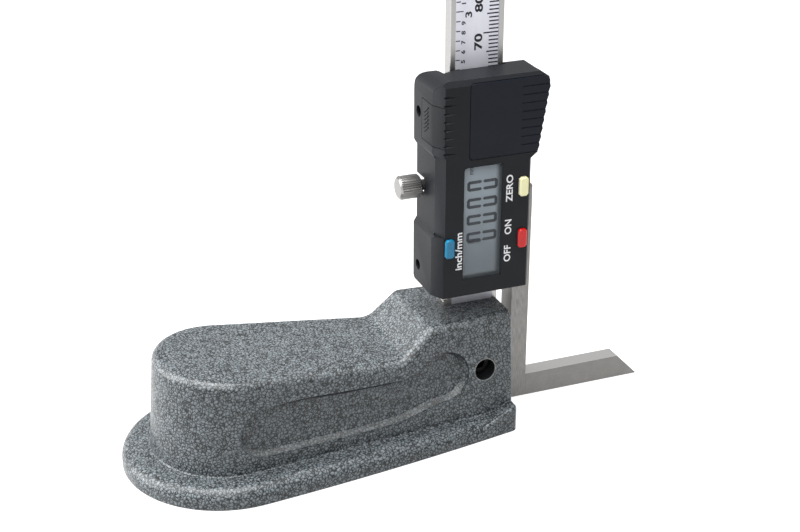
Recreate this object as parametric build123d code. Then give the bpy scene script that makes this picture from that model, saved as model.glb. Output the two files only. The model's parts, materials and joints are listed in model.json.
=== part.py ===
from build123d import *
import math
import os

# Height gauge. Millimetres. Origin: underside of the base, on the beam's centre line.
# X runs to the scriber tip, -Y faces the reader, Z is up. The head stands at reading zero.

# beam and scale
beam_w = 15.0
beam_t = 3.7
beam_foot = 5.0
stroke = 150.0
scale_zero = 39.6
strip_w = 12.0
strip_t = 0.2
strip_sink = 0.25

# base casting
palm_x = -70.5
flange_r = 28.2
flange_front = 17.9
flange_bulge_r = 760.0
flange_t = 5.1
flange_edge = 3.3
pad_t = 7.9
pad_x = -9.0
body_r = 20.6
body_front = 14.2
body_draft = 4.5
block_top = 33.8
palm_low = 26.3
palm_slope = 5.2
ramp_top_x = -17.1
ramp_foot_x = -25.1
rim_r = 2.4
foot_r = 2.0
grip_depth = 2.3
clamp_hole_d = 6.1
clamp_hole_x = -1.0
clamp_hole_z = 18.5
relief_deep = 1.5

# head
head_low = 41.6
head_top = 101.1
head_left = -15.35
head_right = 11.3
head_front = -12.85
head_back = 3.2
band_y = 3.7
band_x = 1.95
wall = 1.2
top_round = 5.6
waist_low = 59.0
waist_high = 81.1
waist_in = 0.9
bulge_low = 80.0
bulge_top_x = 16.1
bulge_low_x = 13.3
shoulder_r = 3.5
run_gap = 0.05

# readout face
lcd_x0 = -7.8
lcd_x1 = 3.1
lcd_z0 = 46.2
lcd_z1 = 77.8
button_w = 2.55
button_h = 5.3
button_out = 0.9
zero_x = 9.05
zero_z = 70.6
power_z = 55.9
unit_x = -11.8
unit_z = 56.0
cover_x0 = -6.4
cover_z0 = 79.9
cover_z1 = 100.1
cover_t = 1.3
cell_d = 11.6
cell_t = 5.4

# lock and gib
knob_d = 6.4
knob_x0 = -21.2
knob_x1 = -15.1
shank_r = 1.46
notch_half = 2.55
lock_z = 69.6
gib_t = 1.2
gib_screw_d = 2.0
gib_z = (46.65, 90.2)

# scriber
scriber_x0 = 12.5
scriber_w = 5.3
scriber_y0 = -1.0
scriber_y1 = 5.6
arm_y1 = 4.0
arm_h = 6.9
tip_x = 54.2
tip_top_x = 47.6
scriber_top = 65.4

ridge_low = 82.1
fine_r = 1.45
fine_sides = 16

# worked out from the sizes above
half = beam_w / 2
beam_front = -beam_t / 2
beam_back = beam_t / 2
front_x = half - 0.1
beam_top = scale_zero + stroke + (head_top - head_low) + 5.6


def box(x0, x1, y0, y1, z0, z1):
    return Pos((x0 + x1) / 2, (y0 + y1) / 2, (z0 + z1) / 2) * Box(abs(x1 - x0), abs(y1 - y0), abs(z1 - z0))


def rod(r, length):
    """Round bar about the middle; below fine_r it has flat sides, so that small screws and holes stay light."""
    if r >= fine_r:
        return Cylinder(r, length)
    return extrude(Pos(0, 0, -length / 2) * RegularPolygon(r, fine_sides), amount=length)


def cyl_x(y, z, r, x0, x1):
    return Pos((x0 + x1) / 2, y, z) * Rot(0, 90, 0) * rod(r, abs(x1 - x0))


def cyl_y(x, z, r, y0, y1):
    return Pos(x, (y0 + y1) / 2, z) * Rot(90, 0, 0) * rod(r, abs(y1 - y0))


def cyl_z(x, y, r, z0, z1):
    return Pos(x, y, (z0 + z1) / 2) * rod(r, abs(z1 - z0))


def prism_x(points, x0, x1):
    wire = Polyline(*[(x0, y, z) for y, z in points], close=True)
    return extrude(make_face(wire), amount=x1 - x0, dir=(1, 0, 0))


def prism_y(points, y0, y1):
    wire = Polyline(*[(x, y0, z) for x, z in points], close=True)
    return extrude(make_face(wire), amount=y1 - y0, dir=(0, 1, 0))


def prism_z(points, z0, z1):
    wire = Polyline(*[(x, y, z0) for x, y in points], close=True)
    return extrude(make_face(wire), amount=z1 - z0, dir=(0, 0, 1))


def soften(shape, edges, radius):
    """Round the edges, with a smaller radius where the full one has no room."""
    edges = list(edges)
    if not edges:
        return shape
    for factor in (1.0, 0.8, 0.6, 0.4, 0.25):
        try:
            out = fillet(edges, radius * factor)
            if out.is_valid and out.volume > 0.5 * shape.volume:
                return out
        except Exception:
            continue
    return shape


def bevel(shape, edges, size):
    edges = list(edges)
    try:
        out = chamfer(edges, size)
        if out.is_valid:
            return out
    except Exception:
        pass
    return shape


def hex_socket(across, depth):
    return extrude(RegularPolygon(across / math.sqrt(3), 6), amount=depth)


def socket_head_screw(d, length, head_d, head_h, across):
    """Cap screw along +Z: head top at zero, shank down to -(head_h + length)."""
    s = cyl_z(0, 0, head_d / 2, -head_h, 0) + cyl_z(0, 0, d / 2, -head_h - length, -head_h)
    return s - Pos(0, 0, -head_h * 0.55) * hex_socket(across, head_h)


def slotted_screw(d, length, head_d, head_h):
    """Flat pan head along +Z with a cross slot."""
    s = cyl_z(0, 0, head_d / 2, -head_h, 0) + cyl_z(0, 0, d / 2, -head_h - length, -head_h)
    s -= box(-head_d * 0.32, head_d * 0.32, -head_d * 0.07, head_d * 0.07, -head_h * 0.5, 1)
    s -= box(-head_d * 0.07, head_d * 0.07, -head_d * 0.32, head_d * 0.32, -head_h * 0.5, 1)
    return s


parts = {}

# ------------------------------------------------------------------ base casting
slot_left = -half - 1.1


def side_arc(cx, r, fx, fy, big):
    """Arc from (fx, fy) that meets the circle (cx, 0, r) without a corner."""
    d = math.hypot(fx - cx, fy)
    a = ((big - r) ** 2 - big ** 2 + d ** 2) / (2 * d)
    h = math.sqrt(max((big - r) ** 2 - a ** 2, 0.0))
    ux, uy = (fx - cx) / d, fy / d
    ox, oy = cx + a * ux + h * uy, a * uy - h * ux
    if oy > 0:
        ox, oy = cx + a * ux - h * uy, a * uy + h * ux
    n = math.hypot(cx - ox, oy)
    tx, ty = cx + r * (cx - ox) / n, r * (0 - oy) / n
    mx, my = (fx + tx) / 2 - ox, (fy + ty) / 2 - oy
    m = math.hypot(mx, my)
    return (ox + big * mx / m, oy + big * my / m), (tx, ty)


mid, tan = side_arc(palm_x, flange_r, front_x, flange_front, flange_bulge_r)
with BuildPart() as flange_part:
    with BuildSketch():
        with BuildLine():
            ThreePointArc((front_x, flange_front), mid, tan)
            ThreePointArc(tan, (palm_x - flange_r, 0), (tan[0], -tan[1]))
            ThreePointArc((tan[0], -tan[1]), (mid[0], -mid[1]), (front_x, -flange_front))
            Line((front_x, -flange_front), (front_x, flange_front))
        make_face()
    extrude(amount=flange_t)
flange = flange_part.part
flange = soften(flange, [e for e in flange.edges().filter_by(Axis.Z) if e.center().X > front_x - 1], 1.8)
tall = extrude(flange.faces().sort_by(Axis.Z)[-1], amount=pad_t)
outline = flange
flange = soften(flange, [e for e in flange.edges() if e.center().Z > flange_t - 0.01 and e.center().X < front_x - 0.01], flange_edge)

reach = front_x - palm_x
phi = math.asin(body_r / math.hypot(reach, body_front)) - math.atan2(body_front, reach)
ahead = 8.0
wide_front = body_front - ahead * math.tan(phi)
tx, ty = palm_x + body_r * math.sin(phi), body_r * math.cos(phi)
with BuildPart() as body_part:
    with BuildSketch(Plane.XY.offset(flange_t - 0.4)):
        with BuildLine():
            Line((front_x + ahead, wide_front), (tx, ty))
            ThreePointArc((tx, ty), (palm_x - body_r, 0), (tx, -ty))
            Line((tx, -ty), (front_x + ahead, -wide_front))
            Line((front_x + ahead, -wide_front), (front_x + ahead, wide_front))
        make_face()
    extrude(amount=block_top - flange_t + 0.4, taper=body_draft)
body = body_part.part
body -= box(front_x, front_x + 30, -60, 60, -10, block_top + 20)


def palm_z(x):
    return palm_low + (ramp_foot_x - x) * math.tan(math.radians(palm_slope))


far = palm_x - body_r - 10
body -= prism_y([(ramp_top_x, block_top + 12), (ramp_top_x, block_top), (ramp_foot_x, palm_low),
                 (far, palm_z(far)), (far, block_top + 12)], -60, 60)
body = soften(body, [e for e in body.edges().filter_by(Axis.Y) if abs(e.center().X - ramp_foot_x) < 0.5 and e.center().Z > flange_t + 5], 5.0)
body = soften(body, [e for e in body.edges().filter_by(Axis.Y) if abs(e.center().X - ramp_top_x) < 0.5 and e.center().Z > flange_t + 5], 3.2)
tops = [f for f in body.faces() if f.normal_at().Z > 0.35 and f.center().Z > flange_t + 8]
rim = []
for f in tops:
    for e in f.edges():
        c = e.center()
        inner = abs(e.tangent_at(0.5).Y) > 0.99 and abs(c.Y) < 2 and c.X > palm_x
        if not inner and not any(e.is_same(k) for k in rim):
            rim.append(e)
body = soften(body, rim, rim_r)
body = soften(body, [e for e in body.edges() if abs(e.center().X - front_x) < 0.3 and e.center().Z > flange_t + 1], 0.8)
casting = body + flange
casting = soften(casting, [e for e in casting.edges() if abs(e.center().Z - flange_t) < 0.02 and e.center().X < front_x - 0.05
                           and abs(e.center().Y) < body_r + 1 and e.length > 4], foot_r)

pad = prism_y([(pad_x, 0), (front_x, 0), (front_x, pad_t), (pad_x, flange_t - flange_edge)], -40, 40) & (outline + tall)
pad = soften(pad, [e for e in pad.edges() if e.center().Z > flange_t - 2 and pad_x + 1 < e.center().X < front_x - 0.3 and abs(e.center().Y) > 5], 1.0)
casting = casting + pad

# finger grip in each side, square to the drafted wall
draft = math.radians(body_draft)
grip_h0 = foot_r + 1.3
grip_end_r = 7.4
right_c = (-20.6, 13.8)
left_c = (-72.3, grip_h0 + 7.1)
wall_plane = Plane(origin=(front_x, -body_front, flange_t),
                   x_dir=(math.cos(phi), math.sin(phi), 0),
                   z_dir=(math.sin(phi) * math.cos(draft), -math.cos(phi) * math.cos(draft), math.sin(draft)))
with BuildPart() as grip_part:
    with BuildSketch(wall_plane.offset(-grip_depth)):
        with BuildLine():
            Line((left_c[0], left_c[1] - 7.1), (-44.0, grip_h0))
            Spline((-44.0, grip_h0), (-31.0, grip_h0 + 0.9), (right_c[0], right_c[1] - grip_end_r), tangents=((1, 0), (1, 0.05)))
            ThreePointArc((right_c[0], right_c[1] - grip_end_r), (right_c[0] + grip_end_r, right_c[1]), (right_c[0], right_c[1] + grip_end_r))
            Spline((right_c[0], right_c[1] + grip_end_r), (-29.5, 17.1), (-38.0, 16.3), (-56.0, 17.4), (left_c[0], left_c[1] + 7.1),
                   tangents=((-1, 0), (-1, -0.02)))
            ThreePointArc((left_c[0], left_c[1] + 7.1), (left_c[0] - 7.1, left_c[1]), (left_c[0], left_c[1] - 7.1))
        make_face()
    extrude(amount=grip_depth + 6)
grip = grip_part.part
floor_edges = [e for e in grip.edges() if abs((e.center() - wall_plane.origin).dot(wall_plane.z_dir) + grip_depth) < 0.05]
grip = bevel(grip, floor_edges, 1.2)
casting -= grip
casting -= mirror(grip, about=Plane.XZ)

# beam slot open at the front, clamp hole, ground rim underneath
casting -= box(slot_left, front_x + 5, beam_front - 0.05, beam_back, beam_foot, block_top + 5)
casting -= cyl_y(clamp_hole_x, clamp_hole_z, clamp_hole_d / 2, -body_front - 5, beam_front)
with BuildPart() as relief_part:
    with BuildSketch():
        with BuildLine():
            Line((ramp_top_x, 9.5), (palm_x, 16.0))
            ThreePointArc((palm_x, 16.0), (palm_x - 16.0, 0), (palm_x, -16.0))
            Line((palm_x, -16.0), (ramp_top_x, -9.5))
            Line((ramp_top_x, -9.5), (ramp_top_x, 9.5))
        make_face()
    extrude(amount=relief_deep)
casting -= relief_part.part
parts["base_casting"] = casting

# ------------------------------------------------------------------ beam and scale
strip_low = block_top - 12
strip_high = beam_top - 9
strip_x0 = -strip_w / 2 - 0.1
strip_x1 = strip_w / 2 - 0.1
beam = box(-half, half, beam_front, beam_back, beam_foot, beam_top)
beam = bevel(beam, beam.edges().filter_by(Axis.Z), 0.2)
beam -= box(strip_x0, strip_x1, beam_front - 1, beam_front + strip_sink, strip_low, strip_high)
stop_low = beam_top - 5.0
for sx in (-3.6, 3.6):
    beam -= cyl_y(sx, stop_low + 2.1, 0.8, beam_back - 2.4, beam_back + 1)
parts["beam"] = beam
parts["scale_strip"] = box(strip_x0 + 0.02, strip_x1 - 0.02, beam_front + strip_sink - strip_t, beam_front + strip_sink, strip_low + 0.05, strip_high - 0.05)

screw_len = 8.0
clamp = cyl_y(clamp_hole_x, clamp_hole_z, clamp_hole_d / 2 - 0.04, beam_front - screw_len, beam_front)
clamp = bevel(clamp, [e for e in clamp.edges() if e.geom_type == GeomType.CIRCLE], 0.4)
clamp -= Pos(clamp_hole_x, beam_front - screw_len + 3.2, clamp_hole_z) * Rot(90, 0, 0) * hex_socket(3.0, 6)
parts["beam_clamp_screw"] = clamp
wedge = box(slot_left, -half, beam_front - 0.05, beam_back, beam_foot, block_top + 1.6)
parts["beam_wedge"] = bevel(wedge, [e for e in wedge.edges() if e.center().Z > block_top + 1.5], 0.3)

stop = box(-6.2, 6.2, beam_back, beam_back + 1.5, stop_low, stop_low + 4.2)
stop = soften(stop, stop.edges().filter_by(Axis.Y), 0.9)
stop_screws = []
for sx in (-3.6, 3.6):
    stop -= cyl_y(sx, stop_low + 2.1, 0.85, beam_back - 1, beam_back + 3)
    stop -= cyl_y(sx, stop_low + 2.1, 1.55, beam_back + 0.7, beam_back + 3)
    stop_screws.append(Pos(sx, beam_back + 1.5, stop_low + 2.1) * Rot(-90, 0, 0) * slotted_screw(1.5, 2.9, 2.9, 0.8))
parts["beam_stop"] = stop
parts["beam_stop_screws"] = Compound(children=stop_screws)

# ------------------------------------------------------------------ slider frame
frame_x0 = -half - gib_t - 2 * run_gap - 3.6
frame_x1 = half + run_gap + 2.4
frame_y0 = beam_front - 1.05
frame_y1 = beam_back + run_gap
frame_z0 = head_low + 1.7
frame_z1 = head_top - 6.2
chan_x0 = -half - gib_t - 2 * run_gap
chan_x1 = half + run_gap
lug_z0 = frame_z0 + 1.5
lug_z1 = scriber_top - 0.8
frame = box(frame_x0, frame_x1, frame_y0, frame_y1, frame_z0, frame_z1)
frame += box(frame_x1 - 0.5, scriber_x0, frame_y0, frame_y1, lug_z0, lug_z1)
frame += box(frame_x1, scriber_x0, frame_y0, frame_y1 + 1.2, lug_z0, lug_z1)
frame -= box(chan_x0, chan_x1, beam_front - run_gap, frame_y1 + 1, frame_z0 - 1, frame_z1 + 1)
read_z0 = head_low + 10
read_z1 = frame_z1 - 7
frame -= box(strip_x0 + 0.6, strip_x1 - 0.6, frame_y0 - 1, beam_front, read_z0, read_z1)
rail_x = (frame_x0 + chan_x0) / 2
for z in gib_z:
    frame -= cyl_x(0, z, gib_screw_d / 2, frame_x0 - 1, chan_x0 + 1)
frame -= cyl_x(0, lock_z, shank_r + 0.04, frame_x0 - 1, chan_x0 + 1)
plate_t = head_back - frame_y1
corner_x = (rail_x - 0.35, half + 1.1)
corner_z = (frame_z0 + 6.3, cover_z0 + 2.6)
plate_holes = [(x, z) for x in corner_x for z in (lug_z1 - 6.2, frame_z1 - 1.9)]
post_holes = [(x, z) for x in corner_x for z in corner_z]
for x, z in plate_holes:
    frame -= cyl_y(x, z, 0.75, frame_y1 - 3.0, frame_y1 + 1)
for x, z in post_holes:
    frame -= cyl_y(x, z, 0.8, frame_y0 - 1, frame_y1 + 1)
scr_y = 0.7
scr_z = (lug_z1 - 9.2, lug_z1 - 3.2)
for z in scr_z:
    frame -= cyl_x(scr_y, z, 1.05, chan_x1 + 0.9, scriber_x0 + 1)
parts["slider_frame"] = frame

plate = box(frame_x0 + 0.1, frame_x1 - 0.1, frame_y1, head_back - 0.2, frame_z0 + 0.1, frame_z1 - 0.4)
plate = soften(plate, plate.edges().filter_by(Axis.Y), 1.0)
plate_screws = []
housing_screws = []
for x, z in plate_holes + post_holes:
    plate -= cyl_y(x, z, 0.85, frame_y1 - 1, head_back + 1)
    plate -= cyl_y(x, z, 1.4, frame_y1 + 0.45, head_back + 1)
for x, z in plate_holes:
    plate_screws.append(Pos(x, frame_y1 + 0.95, z) * Rot(-90, 0, 0) * slotted_screw(1.5, 3.2, 2.6, 0.5))
post_end = frame_y0 - 3.2
for x, z in post_holes:
    housing_screws.append(Pos(x, frame_y1 + 0.95, z) * Rot(-90, 0, 0) * slotted_screw(1.5, frame_y1 - post_end - 0.4, 2.6, 0.5))
parts["back_plate"] = plate
parts["back_plate_screws"] = Compound(children=plate_screws)
parts["housing_screws"] = Compound(children=housing_screws)

gib_x0 = -half - run_gap - gib_t
gib_x1 = -half - run_gap
gib = box(gib_x0, gib_x1, beam_front + 0.15, beam_back - 0.05, frame_z0 + 0.4, frame_z1 - 0.4)
for z in gib_z:
    gib -= cyl_x(0, z, 0.55, gib_x0 - 0.1, gib_x0 + 0.5)
parts["gib_strip"] = gib
gib_screws = []
for z in gib_z:
    g = cyl_x(0, z, gib_screw_d / 2 - 0.03, frame_x0 + 0.6, gib_x0) + cyl_x(0, z, 0.5, gib_x0 - 0.1, gib_x0 + 0.5)
    g -= Pos(frame_x0 + 0.5, 0, z) * Rot(0, 90, 0) * hex_socket(0.9, 1.2)
    gib_screws.append(g)
parts["gib_screws"] = Compound(children=gib_screws)

pad_t = 0.8
parts["lock_pad"] = cyl_x(0, lock_z, 1.3, gib_x0 - pad_t, gib_x0)
knob = cyl_x(0, lock_z, knob_d / 2, knob_x0, knob_x1)
knob = bevel(knob, [e for e in knob.edges() if e.geom_type == GeomType.CIRCLE], 0.6)
teeth = 30
cuts = []
for i in range(teeth):
    a = 2 * math.pi * i / teeth
    cut = Pos(0, 0, 0) * Rot(0, 0, 45) * Box(0.42, 0.42, abs(knob_x1 - knob_x0) + 1)
    cuts.append(Pos((knob_x0 + knob_x1) / 2, knob_d / 2 * math.cos(a), lock_z + knob_d / 2 * math.sin(a)) * Rot(math.degrees(a), 0, 0) * Rot(0, 90, 0) * cut)
knob = knob - cuts
lock = knob + cyl_x(0, lock_z, shank_r, knob_x1 - 0.2, gib_x0 - pad_t)
parts["lock_screw"] = lock

# ------------------------------------------------------------------ scriber
bar_x1 = scriber_x0 + scriber_w
scriber = box(scriber_x0, bar_x1, scriber_y0, scriber_y1, 0, scriber_top)
scriber -= box(scriber_x0 - 1, bar_x1 + 1, arm_y1, scriber_y1 + 1, -1, arm_h)
scriber += prism_y([(scriber_x0 + 1.2, 0), (tip_x, 0), (tip_top_x, arm_h), (scriber_x0 + 1.2, arm_h)], scriber_y0, arm_y1)
scriber -= prism_y([(scriber_x0 - 1, -1), (scriber_x0 + 1.2, -1), (scriber_x0 + 1.2, 0), (scriber_x0, 1.2), (scriber_x0 - 1, 1.2)], scriber_y0 - 1, scriber_y1 + 1)
scriber = bevel(scriber, [e for e in scriber.edges().filter_by(Axis.X) if e.center().Z > scriber_top - 0.01], 0.4)
scriber_screws = []
for z in scr_z:
    scriber -= cyl_x(scr_y, z, 1.12, scriber_x0 - 1, bar_x1 + 1)
    scriber -= cyl_x(scr_y, z, 1.55, bar_x1 - 2.1, bar_x1 + 1)
    scriber_screws.append(Pos(bar_x1 - 0.1, scr_y, z) * Rot(0, 90, 0) * socket_head_screw(2.0, bar_x1 - 2.1 - chan_x1 - 1.1, 2.9, 2.0, 1.5))
parts["scriber"] = scriber
parts["scriber_screws"] = Compound(children=scriber_screws)

# ------------------------------------------------------------------ front housing
front_left = head_left + band_x


def head_outline():
    left = [(head_left, head_low), (head_left, waist_low - 0.9), (head_left + waist_in, waist_low + 0.6),
            (head_left + waist_in, waist_high - 1.0), (head_left, waist_high + 0.6)]
    shoulder = [(head_left + shoulder_r * (1 - math.cos(math.radians(a))), head_top - shoulder_r * (1 - math.sin(math.radians(a))))
                for a in range(0, 91, 15)]
    right = [(bulge_top_x - 2.6, head_top), (bulge_top_x - 0.7, head_top - 1.4), (bulge_top_x, head_top - 3.6), (bulge_low_x, bulge_low),
             (head_right, bulge_low - 1.6), (head_right, head_low)]
    return left + shoulder + right


def side_outline():
    pts = [(head_front, head_low), (head_front, head_top - 1.3), (head_front + 1.3, head_top)]
    cy, cz = head_back - top_round, head_top - top_round
    for i in range(0, 9):
        a = math.radians(90 - i * 90 / 8)
        pts.append((cy + top_round * math.cos(a), cz + top_round * math.sin(a)))
    pts += [(head_back, head_low + 0.8), (head_back - 0.8, head_low)]
    return pts


shell = prism_y(head_outline(), head_front, head_back)
shell &= prism_x(side_outline(), head_left - 5, bulge_top_x + 5)
# the band across the left front edge follows the waist
shell -= prism_z([(head_left - 5, head_front - 5), (front_left, head_front - 5), (front_left, head_front), (head_left, head_front + band_y), (head_left - 5, head_front + band_y)], head_low - 5, waist_low)
shell -= prism_z([(head_left - 5, head_front - 5), (front_left, head_front - 5), (front_left, head_front), (head_left, head_front + band_y), (head_left - 5, head_front + band_y)], waist_high, head_top + 5)
shell -= prism_z([(head_left - 5, head_front - 5), (front_left + 0.4, head_front - 5), (front_left + 0.4, head_front), (head_left + waist_in, head_front + band_y), (head_left - 5, head_front + band_y)], waist_low, waist_high)
shell = bevel(shell, [e for e in shell.edges().filter_by(Axis.Z) if abs(e.center().X - head_right) < 0.1 and e.center().Y < head_front + 0.1], 0.6)
skin = shell

# inside of the shell
in_x0 = head_left + wall
in_x1 = head_right - 0.65
in_y = head_front + 1.4
waist_x = head_left + waist_in + wall
low_wall = head_low + 1.4
top_in = head_top - 1.6
cavity = prism_y([(in_x0, low_wall), (in_x0, waist_low - 1.6), (waist_x, waist_low - 0.4), (waist_x, waist_high + 0.2), (in_x0, waist_high + 1.4),
                  (in_x0, head_top - shoulder_r), (in_x0 + 2.4, top_in), (bulge_top_x - 3.4, top_in), (bulge_top_x - 2.0, head_top - 4.4), (bulge_low_x - 1.3, bulge_low + 0.6), (in_x1, bulge_low - 1.2), (in_x1, low_wall)], in_y, head_back + 1)
cavity -= prism_z([(in_x0 - 1, in_y - 1), (front_left + 1.3, in_y - 1), (front_left + 1.3, in_y), (waist_x + 0.1, head_front + band_y + 0.9), (in_x0 - 1, head_front + band_y + 0.9)], head_low, head_top)
inner_round = prism_x([(head_back - top_round, top_in), (head_back - top_round + 1.6, top_in - 0.25), (head_back - top_round + 3.2, top_in - 1.4), (head_back - 1.2, top_in - 3.4), (head_back - 0.9, top_in - 4.6),
                       (head_back - 0.9, frame_z1), (head_back + 3, frame_z1), (head_back + 3, head_top + 3), (head_back - top_round, head_top + 3)], -40, 40)
cavity -= inner_round
shell -= cavity
# the beam's way through top and bottom
shell -= box(-half - gib_t - 0.3, half + 0.3, beam_front - 0.35, head_back + 1, head_low - 1, head_top + 3)
shell -= prism_z([(-half - 3.7, head_back + 1), (-half - 3.7, -0.1), (-half - 2.9, beam_front - 2.8), (-half - 0.3, beam_front - 1.6), (half + 0.4, beam_front - 1.1), (half + 0.4, head_back + 1)], head_top - 4.0, head_top + 3)
# way for the frame's lug and the scriber
shell -= box(in_x1 - 0.1, head_right + 3, frame_y0 - 0.05, head_back + 1, lug_z0 - 0.2, scriber_top + 0.4)
# gib screw holes and the notch for the thumbscrew, open to the back
for z in gib_z:
    shell -= cyl_x(0, z, 1.5, head_left - 2, head_left + 4)
shell -= box(head_left - 1, frame_x0 - 0.05, -shank_r - 0.25, head_back + 1, lock_z - notch_half, lock_z + notch_half)

# face openings
win_x0, win_x1, win_z0, win_z1 = lcd_x0 - 0.6, lcd_x1 + 0.6, lcd_z0 - 0.6, lcd_z1 + 0.6
shell -= prism_y([(lcd_x0, lcd_z0), (lcd_x1, lcd_z0), (lcd_x1, lcd_z1), (lcd_x0 + 0.9, lcd_z1), (lcd_x0 + 0.26, lcd_z1 - 0.26), (lcd_x0, lcd_z1 - 0.9)], head_front - 1, in_y + 1)
shell -= prism_z([(lcd_x1 - 0.1, head_front - 0.1), (lcd_x1 + 0.45, head_front - 0.1), (lcd_x1 - 0.1, head_front + 0.5)], lcd_z0 - 0.2, lcd_z1)
shell -= prism_x([(head_front - 0.1, lcd_z0 + 0.1), (head_front - 0.1, lcd_z0 - 0.45), (head_front + 0.5, lcd_z0 + 0.1)], lcd_x0, lcd_x1)
shell -= box(win_x0, win_x1, head_front + 0.55, in_y + 1, win_z0, win_z1)
buttons = {"zero_button": (zero_x, zero_z), "power_button": (zero_x, power_z), "unit_button": (unit_x, unit_z)}
for x, z in buttons.values():
    hole = box(x - button_w / 2 - 0.08, x + button_w / 2 + 0.08, head_front - 2, in_y + 1, z - button_h / 2 - 0.08, z + button_h / 2 + 0.08)
    shell -= bevel(hole, hole.edges().filter_by(Axis.Y), 0.55)
    if x < 0:
        shell -= box(x - button_w / 2 - 0.5, x + button_w / 2 + 0.5, in_y - 0.01, in_y + 7, z - button_h / 2 - 0.5, z + button_h / 2 + 0.5)

# battery bay: opening for the cover and a ring for the cell
cell_x = (cover_x0 + bulge_low_x) / 2 + 0.6
cell_z = (cover_z0 + cover_z1) / 2
bay_r = cell_d / 2 + 0.15
board_y1 = frame_y0
board_t = 1.0
board_y0 = board_y1 - board_t
ring = cyl_y(cell_x, cell_z, bay_r + 0.9, in_y - 0.01, board_y0)
shell += ring
cover_wrap_y = head_front + 6.8
slope = (bulge_top_x - bulge_low_x) / (head_top - 3.6 - bulge_low)
lid_gap = 0.16
well = box(cover_x0 - lid_gap, bulge_top_x + 4, head_front - 1, head_front + cover_t, cover_z0 - lid_gap, cover_z1 + lid_gap)
shell -= soften(well, [e for e in well.edges().filter_by(Axis.Y) if e.center().X < cover_x0], 1.1)


def flank(offset, z):
    return bulge_low_x + (z - bulge_low) * slope + offset


shell -= prism_y([(flank(-1.2, cover_z0 - lid_gap), cover_z0 - lid_gap), (flank(4, cover_z0 - lid_gap), cover_z0 - lid_gap), (flank(4, cover_z1 + lid_gap), cover_z1 + lid_gap), (flank(-1.2, cover_z1 + lid_gap), cover_z1 + lid_gap)],
                 head_front - 1, cover_wrap_y + lid_gap)
shell += prism_y([(flank(-2.2, cover_z0 - 0.8), cover_z0 - 0.8), (flank(-1.26, cover_z0 - 0.8), cover_z0 - 0.8), (flank(-1.26, cover_z1 + 0.8), cover_z1 + 0.8), (flank(-2.2, cover_z1 + 0.8), cover_z1 + 0.8)],
                 head_front + cover_t, cover_wrap_y + 0.4)
ledge = box(cover_x0 - 1.0, bulge_top_x, head_front + cover_t, head_front + cover_t + 1.0, cover_z0 - 1.0, cover_z1 + 0.6)
shell += ledge & prism_y([(cover_x0 - 2, cover_z0 - 2), (cover_x0 - 2, head_top), (flank(-1.3, head_top), head_top), (flank(-1.3, cover_z0 - 2), cover_z0 - 2)], head_front, head_back)
shell -= cyl_y(cell_x, cell_z, bay_r, head_front - 1, head_back + 1)
shell = shell & (skin + box(-half, half, head_front, head_back, head_low, head_top))

# screw posts
for x, z in post_holes:
    post = box(x - 1.35, x + 1.35, in_y - 0.01, frame_y0, z - 1.35, z + 1.35)
    if z > bulge_low - 5:
        post -= cyl_y(cell_x, cell_z, bay_r, head_front - 1, head_back + 1)
    shell += post
for x, z in post_holes:
    shell -= cyl_y(x, z, 0.78, post_end - 0.2, frame_y0 + 1)

# port opening on the left side
port_z0, port_z1 = waist_high + 2.6, waist_high + 13.4
port_y0, port_y1 = head_front + band_y - 0.25, -2.2
port_t = 0.9
band_cut = [(head_left - 3, head_front - 3), (front_left + 0.3, head_front - 3), (front_left + 0.3, head_front + 0.9), (head_left + port_t + 0.3, head_front + band_y + 0.4), (head_left + port_t, port_y1), (head_left - 3, port_y1)]
port_cut = prism_z(band_cut, port_z0, port_z1)
port_raw = (skin & port_cut)
port_fit = prism_z([(x + 0.05 if x > head_left - 2 else x, y + lid_gap if y > -3 else y) for x, y in band_cut], port_z0 - lid_gap, port_z1 + lid_gap)
shell -= port_fit & box(head_left - 5, front_left + 1, head_front - 5, port_y1 + lid_gap, port_z0 - lid_gap, port_z1 + lid_gap)
shell -= box(head_left - 1, in_x0 + 2.5, head_front + band_y + 1.2, port_y1 - 1.2, port_z0 + 1.2, port_z1 - 1.2)

# grip ridges that notch the edge between band and face and run out on the face
ridge_cut = []
pitch = 2.16
ridge_deep = 0.42
ridge_run = 3.4
for i in range(8):
    z = ridge_low + i * pitch
    notch = Rot(45, 0, 0) * Box(2 * ridge_run, ridge_deep * math.sqrt(2), ridge_deep * math.sqrt(2))
    ridge_cut.append(Pos(front_left, head_front + 0.03, z) * Rot(0, 0, -math.degrees(math.atan2(ridge_deep, ridge_run))) * notch)
shell = (shell - ridge_cut).solids().sort_by(SortBy.VOLUME)[-1]
parts["front_housing"] = shell

port = port_raw - ridge_cut
port -= cyl_x(0, gib_z[1], 1.5, head_left - 2, head_left + 4)
for i in range(6):
    z = port_z0 + 3.2 + i * 1.05
    port += Pos(head_left, (port_y0 + port_y1) / 2 + 0.7, z) * Rot(-35, 0, 0) * box(-0.22, 0.3, -1.6, 1.6, -0.2, 0.2)
port += box(head_left + port_t - 0.05, head_left + port_t + 0.9, head_front + band_y + 1.4, port_y1 - 1.4, port_z0 + 1.4, port_z1 - 1.4)
parts["port_cover"] = port

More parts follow.
